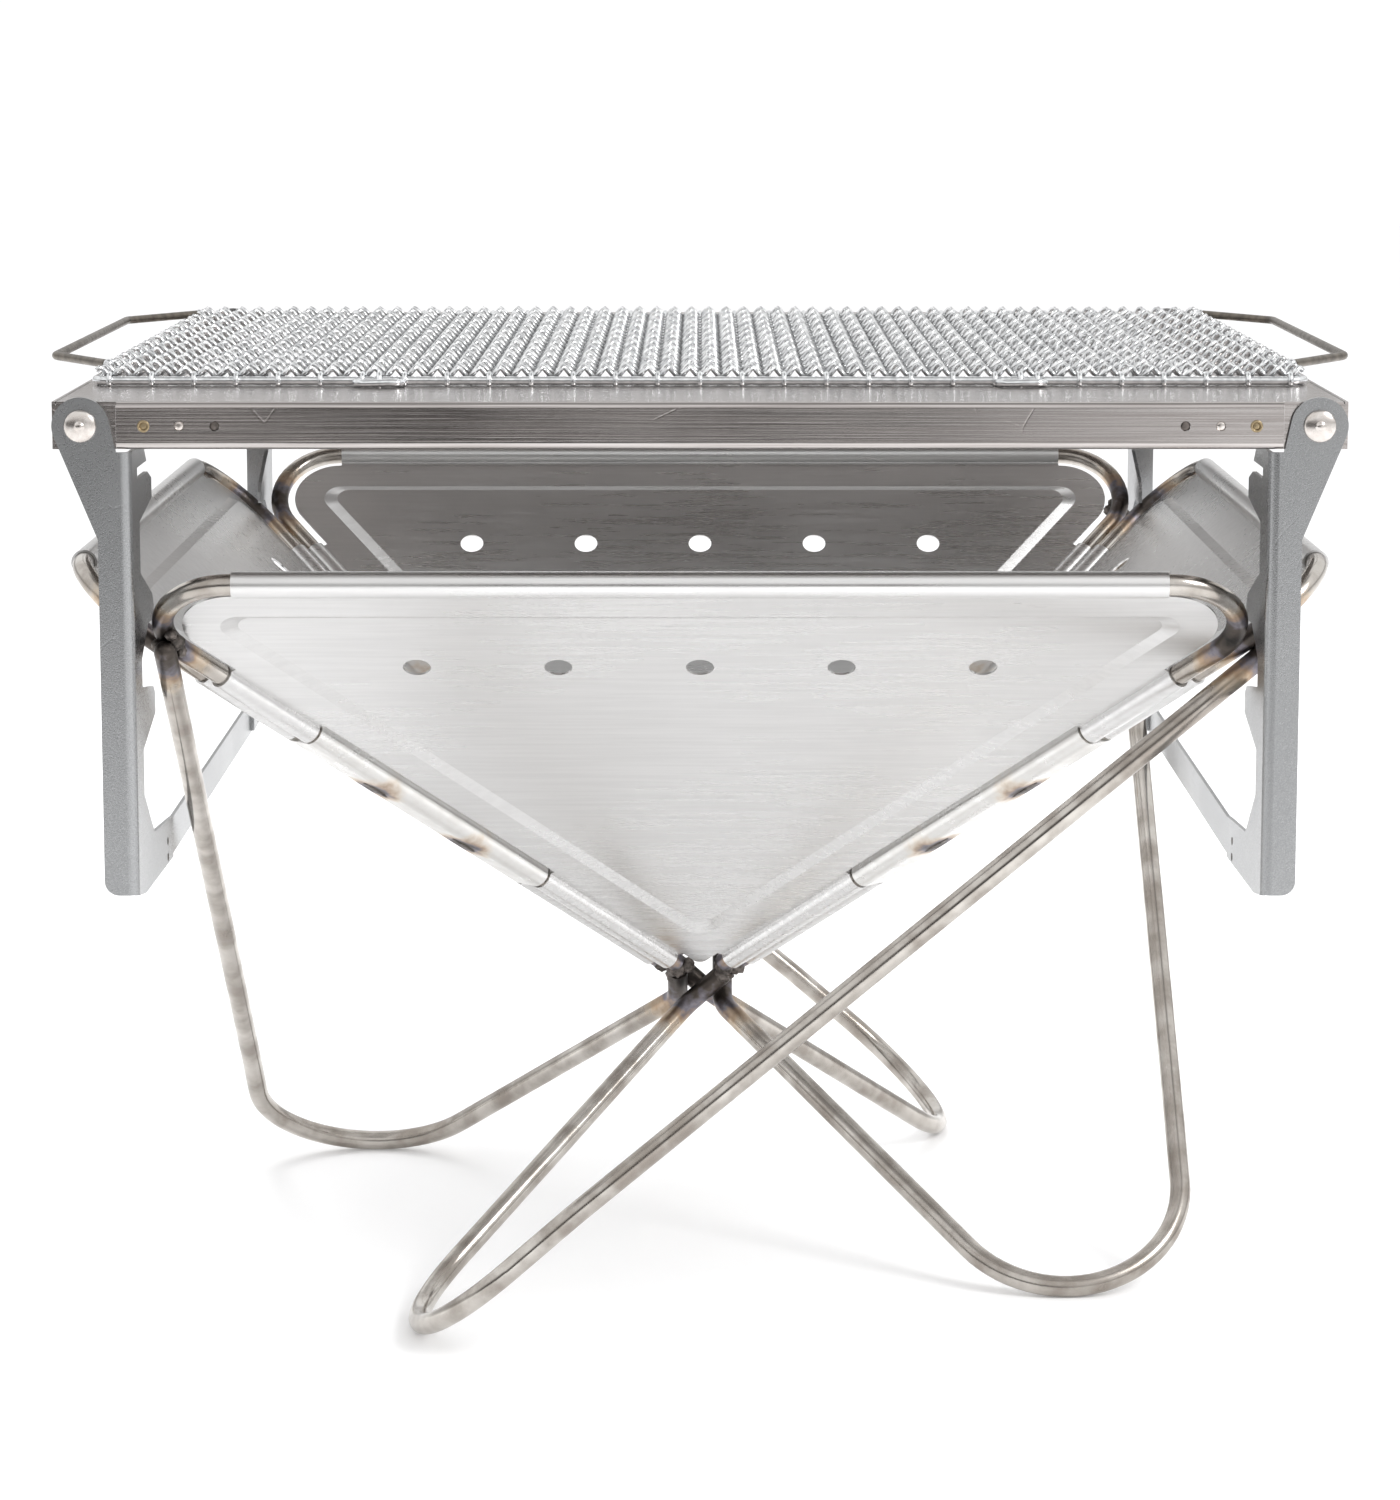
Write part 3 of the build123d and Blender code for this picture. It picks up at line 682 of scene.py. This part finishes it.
@dataclass
class GrillBridge:
    """The bridge's rails and end plates, its rivets and the small fittings in its rails."""

    rivet_head_radius: float = 5.6 * MM
    rivet_outline_radius: float = 5.65 * MM
    rivet_head_height: float = 3.0 * MM
    rivet_dome_base: float = 0.4 * MM
    rivet_dome_rise: float = 1.9 * MM
    rivet_sides: int = 40
    shank_radius: float = 3.0 * MM
    shank_length: float = 3.1 * MM
    rail_end_to_rivet: float = 12.2 * MM
    eyelet_wire: float = 0.45 * MM
    fill_lumps: float = 0.05
    hole_inset: float = 9.3 * MM
    hole_pitch: float = 12.1 * MM
    hole_radius: float = 1.7 * MM
    fill_depth: float = 0.5 * MM
    fill_sink: float = 0.6 * MM

    def rivet_profile(self) -> list[tuple[float, float]]:
        """Shapes the rivet: its shank, and a head with a rim, a dome and a pressed nib at its middle.

        Returns:
            Radius and height of each ring.
        """
        dome = []
        for degrees in range(0, 71, 10):
            turn = math.radians(degrees)
            height = self.rivet_dome_base + self.rivet_dome_rise * math.sin(turn)
            dome.append((self.rivet_head_radius * math.cos(turn), height))
        nib = [(1.55 * MM, 2.25 * MM), (1.35 * MM, 2.7 * MM), (0.8 * MM, 2.9 * MM), (0.0, 2.93 * MM)]
        shank = [(self.shank_radius, -self.shank_length), (self.shank_radius, 0.0)]
        return [*shank, (self.rivet_head_radius, 0.0), *dome, *nib]

    def add_rivets(self, material: bpy.types.Material) -> None:
        """Makes the four domed pivot rivets with their shanks.

        Args:
            material: The piece's material.
        """
        low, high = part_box("leg_pivot_rivets")
        middle_x, middle_z = high.x - self.rivet_outline_radius, (low.z + high.z) / 2
        verts: list[Vector] = []
        faces: list[tuple[int, ...]] = []
        count = self.rivet_sides
        rings = self.rivet_profile()
        for side in (-1, 1):
            for end in (-1, 1):
                base_y = (high.y - self.rivet_head_height) * end
                start = len(verts)
                for reach, rise in rings:
                    for k in range(count):
                        turn = 2 * math.pi * k / count
                        verts.append(Vector((
                            side * middle_x + reach * math.cos(turn), base_y + end * rise,
                            middle_z + reach * math.sin(turn),
                        )))
                for n in range(len(rings) - 1):
                    here, there = start + n * count, start + (n + 1) * count
                    for k in range(count):
                        after = (k + 1) % count
                        quad = (here + k, here + after, there + after, there + k)
                        faces.append(quad if end < 0 else quad[::-1])
        rivets = mesh_piece("pivot_rivet_heads", verts, faces, "bridge", material)
        merge_points(rivets)
        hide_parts("leg_pivot_rivets")

    def hole_centres(self) -> list[tuple[int, Vector]]:
        """Finds the small rail holes.

        Returns:
            Each hole's number from its rail's end, and its place on the front face.
        """
        low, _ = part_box("front_rail")
        rivet_low, rivet_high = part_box("leg_pivot_rivets")
        z = (rivet_low.z + rivet_high.z) / 2
        rail_half = rivet_high.x - self.rivet_outline_radius - self.rail_end_to_rivet
        return [
            (n, Vector((side * (rail_half - self.hole_inset - n * self.hole_pitch), low.y, z)))
            for side in (-1, 1) for n in range(3)
        ]

    def add_rail_fittings(self, eyelet: bpy.types.Material, steel: bpy.types.Material,
                          dark: bpy.types.Material) -> None:
        """Makes what fills the rails' holes.

        Args:
            eyelet: Material of the outer hole's eyelet.
            steel: Material of the middle hole's pin end.
            dark: Material of the inner hole's plug.
        """
        rings = WireMesh(12)
        fills = (BeadMesh(), BeadMesh(), BeadMesh())
        for end in (1, -1):
            for n, centre in self.hole_centres():
                place = Vector((centre.x, centre.y * end, centre.z))
                inward = Vector((0, end, 0))
                axes = (Vector((1, 0, 0)) * self.hole_radius, Vector((0, 0, 1)) * self.hole_radius,
                        inward * self.fill_depth)
                fills[n].add(place + inward * self.fill_sink, axes, self.fill_lumps, n + end)
                if n == 0:
                    loop = [place + Vector((math.cos(a), 0, math.sin(a))) * self.hole_radius
                            for a in (2 * math.pi * k / 24 for k in range(24))]
                    rings.add(loop, self.eyelet_wire, closed=True)
        rings.piece("rail_eyelets", "bridge", Finish.RIVET.value, eyelet)
        for name, fill, material in zip(("eyelet", "pin", "plug"), fills, (eyelet, steel, dark)):
            fill.piece(f"rail_{name}_fills", "bridge", Finish.RIVET.value, material)

    def build(self, materials: dict[Finish, bpy.types.Material]) -> None:
        """Dresses the bridge and adds its rivets and fittings.

        Args:
            materials: The materials by finish.
        """
        for name in ("front_rail", "rear_rail", "left_end_plate", "right_end_plate"):
            dress_node(name, materials[Finish.BRUSHED_RAIL])
        self.add_rivets(materials[Finish.RIVET])
        self.add_rail_fittings(materials[Finish.EYELET], materials[Finish.RIVET], materials[Finish.WELD])


@dataclass
class SwingLegs:
    """The toothed leg plates and the strips that tie them, with their spot welds."""

    side: str
    spot_radius: float = 1.5 * MM
    spot_rise: float = 0.25 * MM
    spot_lumps: float = 0.05
    spot_back: float = 7.0
    spot_heights: tuple[float, float] = (0.28, 0.72)

    def build(self, materials: dict[Finish, bpy.types.Material]) -> None:
        """Dresses the legs and adds the spot welds that hold the strip.

        Args:
            materials: The materials by finish.
        """
        for name in (f"{self.side}_front_leg", f"{self.side}_rear_leg", f"{self.side}_cross_strip"):
            dress_node(name, materials[Finish.GRAINED_PLATE])
        low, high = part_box(f"{self.side}_cross_strip")
        leg_low, leg_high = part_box(f"{self.side}_front_leg")
        sign = -1 if self.side == "left" else 1
        inner = leg_high.x if self.side == "left" else leg_low.x
        spots = BeadMesh()
        for end in (-1, 1):
            for height in self.spot_heights:
                y = end * (high.y - self.spot_back * MM)
                z = low.z + (high.z - low.z) * height
                axes = (Vector((0, self.spot_radius, 0)), Vector((0, 0, self.spot_radius)),
                        Vector((self.spot_rise * sign, 0, 0)))
                spots.add(Vector((inner, y, z)), axes, self.spot_lumps, height - self.spot_back + end)
        body = f"{self.side}_legs"
        spots.piece(f"{self.side}_strip_spot_welds", body, Finish.GRAINED_PLATE.value, materials[Finish.WELD])


@dataclass
class CookingNet:
    """The woven net: long rods hooked round the border, crimped cross wires, stiffeners and handles."""

    rod_count: int = 29
    cross_count: int = 22
    rod_radius: float = 0.95 * MM
    cross_radius: float = 0.95 * MM
    stiff_x: float = 114 * MM
    stiff_radius: float = 1.3 * MM
    crimp_pitch: float = 7.5 * MM
    crimp_height: float = 1.95 * MM
    crimp_sway: float = 1.1 * MM
    crimp_sharpness: float = 0.96
    sway_sharpness: float = 0.9
    crimp_steps: int = 8
    crimp_sag: float = 0.12 * MM
    crest_gap: float = 0.1 * MM
    rod_inset: float = 7 * MM
    row_inset: float = 4.6 * MM
    cross_inset: float = 2 * MM
    hook_start: float = 5 * MM
    rod_lift: float = 0.4 * MM
    hook_turns: tuple[float, ...] = (125, 100, 75, 50, 25, 0, -20, -34)
    stiff_room: float = 2.4 * MM
    stiff_hook_slim: float = 0.2 * MM
    eye_length: float = 19 * MM
    eye_width: float = 8.5 * MM
    eye_overlap: float = 0.6 * MM

    def __post_init__(self) -> None:
        """Reads the border wire's place from the frame."""
        self.low, self.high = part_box("net_border_wire")
        self.border_radius = (self.high.z - self.low.z) / 2
        self.level = self.low.z + self.border_radius

    def long_rod(self, x: float, radius: float) -> list[Vector]:
        """Shapes a long rod, hooked over the border wire at both ends.

        Args:
            x: Where the rod lies across the net.
            radius: The rod's radius.

        Returns:
            Its centre line.
        """
        edge = self.high.y - self.border_radius
        reach = self.border_radius + radius
        hook = [Vector((x, edge - self.hook_start, self.level + self.rod_lift))]
        for degrees in self.hook_turns:
            turn = math.radians(degrees)
            hook.append(Vector((x, edge + reach * math.cos(turn), self.level + reach * math.sin(turn))))
        ahead = [Vector((p.x, -p.y, p.z)) for p in reversed(hook)]
        return ahead + hook

    def add_long_rods(self, material: bpy.types.Material) -> None:
        """Makes the long rods.

        Args:
            material: The piece's material.
        """
        rods = WireMesh(12)
        half = self.high.x - self.rod_inset
        places = [half * (2 * n / (self.rod_count - 1) - 1) for n in range(self.rod_count)]
        for x in places:
            if abs(abs(x) - self.stiff_x) > self.stiff_room:
                rods.add(self.long_rod(x, self.rod_radius), self.rod_radius)
        piece = rods.piece("net_hooked_rods", "net", Finish.NET_WIRE.value, material)
        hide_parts("net_long_rods")

    def crimped_wire(self, row: int) -> list[Vector]:
        """Shapes a cross wire: sharp crimps that lean to and fro, the other way in every other row.

        Args:
            row: The wire's row, counted from the front.

        Returns:
            Its centre line.
        """
        half_y = self.high.y - self.row_inset
        y = half_y * (2 * row / (self.cross_count - 1) - 1)
        half_x = self.high.x - self.cross_inset
        lean = 1 if row % 2 else -1
        middle = CAD_BOX[1][2] - self.cross_radius - self.crimp_height - self.crest_gap
        steps = int(2 * half_x / (self.crimp_pitch / self.crimp_steps))
        path = []
        for n in range(steps + 1):
            x = -half_x + 2 * half_x * n / steps
            phase = (x / self.crimp_pitch - 0.25) * 2 * math.pi
            wave = math.asin(self.crimp_sharpness * math.sin(phase)) / math.asin(self.crimp_sharpness)
            sway = math.asin(self.sway_sharpness * math.cos(phase)) / math.asin(self.sway_sharpness)
            sag = abs(self.crimp_sag * math.sin(x * 61 + row * 1.7))
            z = middle + self.crimp_height * wave - sag
            path.append(Vector((x, y + self.crimp_sway * sway * lean, z)))
        return path

    def add_cross_wires(self, material: bpy.types.Material) -> None:
        """Makes the crimped cross wires.

        Args:
            material: The piece's material.
        """
        wires = WireMesh(7)
        for row in range(self.cross_count):
            wires.add(self.crimped_wire(row), self.cross_radius)
        piece = wires.piece("net_crimped_wires", "net", Finish.NET_WIRE.value, material)
        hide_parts("net_cross_wires")

    def eye_loop(self, x: float, end: int) -> list[Vector]:
        """Shapes a stiffener's long eye, which lies flat outside the border.

        Args:
            x: Where the stiffener lies across the net.
            end: -1 at the front and 1 at the back.

        Returns:
            Its closed centre line.
        """
        straight = (self.eye_length - self.eye_width) / 2
        reach = self.eye_width / 2 - self.stiff_radius
        middle_y = self.high.y + self.eye_width / 2 - self.eye_overlap
        centre = Vector((x, end * middle_y, self.low.z + self.stiff_radius))
        path = []
        for side in (1, -1):
            for k in range(9):
                turn = math.radians(22.5 * k - 90 * side)
                offset = (side * straight + reach * math.cos(turn), reach * math.sin(turn), 0)
                path.append(centre + Vector(offset))
        return path

    def add_stiffeners(self, material: bpy.types.Material) -> None:
        """Makes the two stiffener rods and their eyes.

        Args:
            material: The piece's material.
        """
        rods = WireMesh(14)
        slim = self.stiff_radius - self.stiff_hook_slim
        for side in (-1, 1):
            x = side * self.stiff_x
            rods.add(self.long_rod(x, slim), slim)
            for end in (-1, 1):
                rods.add(self.eye_loop(x, end), self.stiff_radius, closed=True)
        piece = rods.piece("net_stiffeners_with_eyes", "net", Finish.NET_WIRE.value, material)
        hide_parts("net_stiffener_rods")

    def build(self, materials: dict[Finish, bpy.types.Material]) -> None:
        """Dresses the net and makes its woven wires.

        Args:
            materials: The materials by finish.
        """
        dress_node("net_border_wire", materials[Finish.NET_WIRE])
        dress_node("net_handle_collars", materials[Finish.NET_WIRE])
        for side in ("left", "right"):
            dress_node(f"net_{side}_handle", materials[Finish.HANDLE])
        self.add_long_rods(materials[Finish.NET_WIRE])
        self.add_cross_wires(materials[Finish.CRIMPED_WIRE])
        self.add_stiffeners(materials[Finish.NET_WIRE])


@dataclass
class Studio:
    """The pale floor, soft light, room and camera."""

    camera_place: Vector
    camera_pitch: float = 7.826
    camera_shift: float = -0.10
    focal: float = 98.33
    sensor: float = 36.0
    white: tuple[float, ...] = (1.0, 1.0, 1.0, 1.0)
    dark_front: tuple[float, ...] = (0.045, 0.040, 0.037, 1.0)
    dim_band: tuple[float, ...] = (0.20, 0.19, 0.185, 1.0)
    dim_ceiling: tuple[float, ...] = (0.17, 0.17, 0.17, 1.0)
    band_share: float = 0.6
    ceiling_share: float = 0.75
    room_strength: float = 1.05

    def add_camera(self) -> None:
        """Makes the camera in front of the grill, looking slightly down."""
        data = bpy.data.cameras.new("camera")
        data.lens = self.focal
        data.sensor_width = self.sensor
        data.shift_y = self.camera_shift
        data.clip_start, data.clip_end = 0.05, 60
        camera = bpy.data.objects.new("camera", data)
        camera.location = self.camera_place
        camera.rotation_euler = (math.radians(90 - self.camera_pitch), 0, 0)
        bpy.context.scene.collection.objects.link(camera)
        bpy.context.scene.camera = camera

    def add_floor(self) -> None:
        """Makes the pale floor."""
        mesh = bpy.data.meshes.new("floor")
        near, far, half = -2.3, 9.0, 8.0
        corners = [(-half, near, 0), (half, near, 0), (half, far, 0), (-half, far, 0)]
        mesh.from_pydata(corners, [], [(0, 1, 2, 3)])
        floor = bpy.data.objects.new("floor", mesh)
        bpy.context.scene.collection.objects.link(floor)
        material = bpy.data.materials.new("floor")
        material.use_nodes = True
        shader = material.node_tree.nodes["Principled BSDF"]
        shader.inputs["Base Color"].default_value = (0.93, 0.93, 0.935, 1)
        shader.inputs["Roughness"].default_value = 0.9
        shader.inputs["Emission Color"].default_value = (1, 1, 1, 1)
        shader.inputs["Emission Strength"].default_value = 0.15
        mesh.materials.append(material)

    def add_light(self, name: str, place: Vector, target: Vector, size: float, watts: float,
                  mirrored: bool = True) -> None:
        """Adds a square soft light.

        Args:
            name: The light's name.
            place: Where it hangs.
            target: What it points at.
            size: Its side.
            watts: Its power.
            mirrored: Whether the metal mirrors it.
        """
        data = bpy.data.lights.new(name, "AREA")
        data.shape = "SQUARE"
        data.size = size
        data.energy = watts
        light = bpy.data.objects.new(name, data)
        light.location = place
        light.visible_glossy = mirrored
        light.rotation_euler = (target - place).to_track_quat("-Z", "Y").to_euler()
        bpy.context.scene.collection.objects.link(light)

    def add_world(self) -> None:
        """Makes the room: white all round, with a dark stretch in front, a dim band and a dim ceiling."""
        world = bpy.data.worlds.new("room")
        world.use_nodes = True
        world.node_tree.nodes.clear()
        graph = Graph(world.node_tree)
        ray = graph.add("ShaderNodeTexCoord").outputs["Generated"]
        part = graph.add("ShaderNodeSeparateXYZ", {"Vector": ray})
        east, north, up = (part.outputs[k] for k in "XYZ")
        ahead = graph.math("MULTIPLY", north, -1.0)
        aside = graph.math("DIVIDE", east, graph.math("MAXIMUM", ahead, 0.05))
        front = graph.math("MULTIPLY", graph.span(ahead, 0.25, 0.6), graph.span(aside, 0.05, 0.13, 1.0, 0.0))
        low = graph.math("MULTIPLY", front, graph.span(up, 0.12, 0.34, 1.0, 0.0))
        band = graph.math("MULTIPLY", graph.span(up, 0.03, 0.10), graph.span(up, 0.16, 0.26, 1.0, 0.0))
        ceiling = graph.span(up, 0.90, 0.96)
        light = graph.mix(low, self.white, self.dark_front)
        light = graph.mix(graph.math("MULTIPLY", band, self.band_share), light, self.dim_band)
        light = graph.mix(graph.math("MULTIPLY", ceiling, self.ceiling_share), light, self.dim_ceiling)
        seen = graph.add("ShaderNodeLightPath").outputs["Is Camera Ray"]
        light = graph.mix(seen, light, self.white)
        back = graph.add("ShaderNodeBackground", {"Color": light, "Strength": self.room_strength})
        output = graph.add("ShaderNodeOutputWorld")
        graph.tree.links.new(back.outputs[0], output.inputs["Surface"])
        bpy.context.scene.world = world

    def build(self) -> None:
        """Sets up the floor, light, room and camera."""
        self.add_camera()
        self.add_floor()
        self.add_world()
        aim = Vector((0, 0, 0.2))
        self.add_light("key_softbox", Vector((1.5, -1.2, 1.7)), aim, 0.8, 24)
        self.add_light("top_softbox", Vector((-0.2, 0.7, 2.1)), aim, 1.6, 26, mirrored=False)
        bpy.context.scene.view_settings.view_transform = "Standard"


def dress_node(name: str, material: bpy.types.Material) -> None:
    """Gives a piece of the frame its material in every slot.

    Args:
        name: The piece's name.
        material: Its material.
    """
    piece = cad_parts[name]
    if not piece.material_slots:
        piece.data.materials.append(material)
    for place in piece.material_slots:
        place.material = material
    LOG.info("dressed %s in %s", name, material.name)


def merge_points(piece: bpy.types.Object) -> None:
    """Joins points of a piece that lie on one spot.

    Args:
        piece: The piece to mend.
    """
    work = bmesh.new()
    work.from_mesh(piece.data)
    bmesh.ops.remove_doubles(work, verts=work.verts, dist=1e-6)
    bmesh.ops.recalc_face_normals(work, faces=work.faces)
    work.to_mesh(piece.data)
    work.free()


def make_finishes(pit: FirePit) -> dict[Finish, bpy.types.Material]:
    """Builds every finish.

    Args:
        pit: The fire pit, for the places of its heat marks.

    Returns:
        The materials by finish.
    """
    groups = {"grain": grain_group(), "scuffs": scuff_group(), "heat": heat_group()}
    steels = (
        SteelFinish(Finish.PRESSED_SHEET, (0.735, 0.73, 0.725), (0.60, 0.595, 0.59), 0.27,
                    stretch=(22.0, 520.0, 520.0), colour_grain=0.35, grain_bump=0.05, scuff=0.55,
                    heat=pit.sheet_heat()),
        SteelFinish(Finish.DRAWN_TUBE, (0.62, 0.59, 0.55), (0.24, 0.205, 0.175), 0.17,
                    stretch=(75.0, 75.0, 75.0), colour_grain=0.75, grain_bump=0.03, scuff=0.9,
                    scuff_size=110.0, heat=pit.tube_heat()),
        SteelFinish(Finish.HINGE_WRAP, (0.76, 0.755, 0.74), (0.62, 0.60, 0.57), 0.29,
                    stretch=(180.0, 180.0, 260.0), colour_grain=0.35, scuff=0.7, heat=pit.sleeve_heat()),
        SteelFinish(Finish.BRUSHED_RAIL, (0.60, 0.57, 0.555), (0.33, 0.295, 0.28), 0.17, rough_spread=0.10,
                    stretch=(16.0, 1500.0, 1500.0), colour_grain=0.65, grain_bump=0.16, scuff=0.6),
        SteelFinish(Finish.GRAINED_PLATE, (0.38, 0.385, 0.39), (0.27, 0.275, 0.28), 0.26,
                    stretch=(2200.0, 2200.0, 2200.0), colour_grain=0.6, grain_bump=0.2, scuff=0.3),
        SteelFinish(Finish.RIVET, (0.74, 0.71, 0.68), (0.52, 0.46, 0.42), 0.20,
                    stretch=(420.0, 420.0, 420.0), colour_grain=0.5, grain_bump=0.25, scuff=0.8,
                    scuff_size=240.0),
        SteelFinish(Finish.NET_WIRE, (0.84, 0.85, 0.86), (0.50, 0.51, 0.52), 0.14, rough_spread=0.14,
                    stretch=(420.0, 420.0, 420.0), colour_grain=0.6, grain_bump=0.3, scuff=0.4),
        # The crimped wire gets painted shade on the lower half of its crimps.
        SteelFinish(Finish.CRIMPED_WIRE, (0.95, 0.955, 0.96), (0.46, 0.47, 0.48), 0.12, rough_spread=0.12,
                    stretch=(300.0, 300.0, 300.0), colour_grain=0.8, grain_bump=0.3, scuff=0.4,
                    painted_shade_below=(356.4 * MM, 359.2 * MM)),
        SteelFinish(Finish.HANDLE, (0.20, 0.175, 0.145), (0.09, 0.08, 0.07), 0.36,
                    stretch=(300.0, 300.0, 300.0), colour_grain=0.7, grain_bump=0.2, scuff=0.6),
        SteelFinish(Finish.WELD, (0.20, 0.175, 0.16), (0.06, 0.055, 0.05), 0.46, rough_spread=0.25,
                    stretch=(520.0, 520.0, 520.0), colour_grain=0.9, grain_bump=0.6, scuff=0.5),
        SteelFinish(Finish.EYELET, (0.44, 0.35, 0.22), (0.22, 0.17, 0.10), 0.32,
                    stretch=(600.0, 600.0, 600.0), colour_grain=0.6, grain_bump=0.25, scuff=0.4),
    )
    return {steel.finish: steel.build(groups) for steel in steels}


def main() -> None:
    """Builds the finishes, every sub-assembly and the studio."""
    logging.basicConfig(level=logging.INFO, format="%(name)s: %(message)s")
    pit = FirePit(PanelGeometry())
    materials = make_finishes(pit)
    pit.build(materials)
    GrillBridge().build(materials)
    SwingLegs("left").build(materials)
    SwingLegs("right").build(materials)
    CookingNet().build(materials)
    Studio(Vector((0, -1.62, 0.477))).build()


if __name__ == "__main__":
    main()
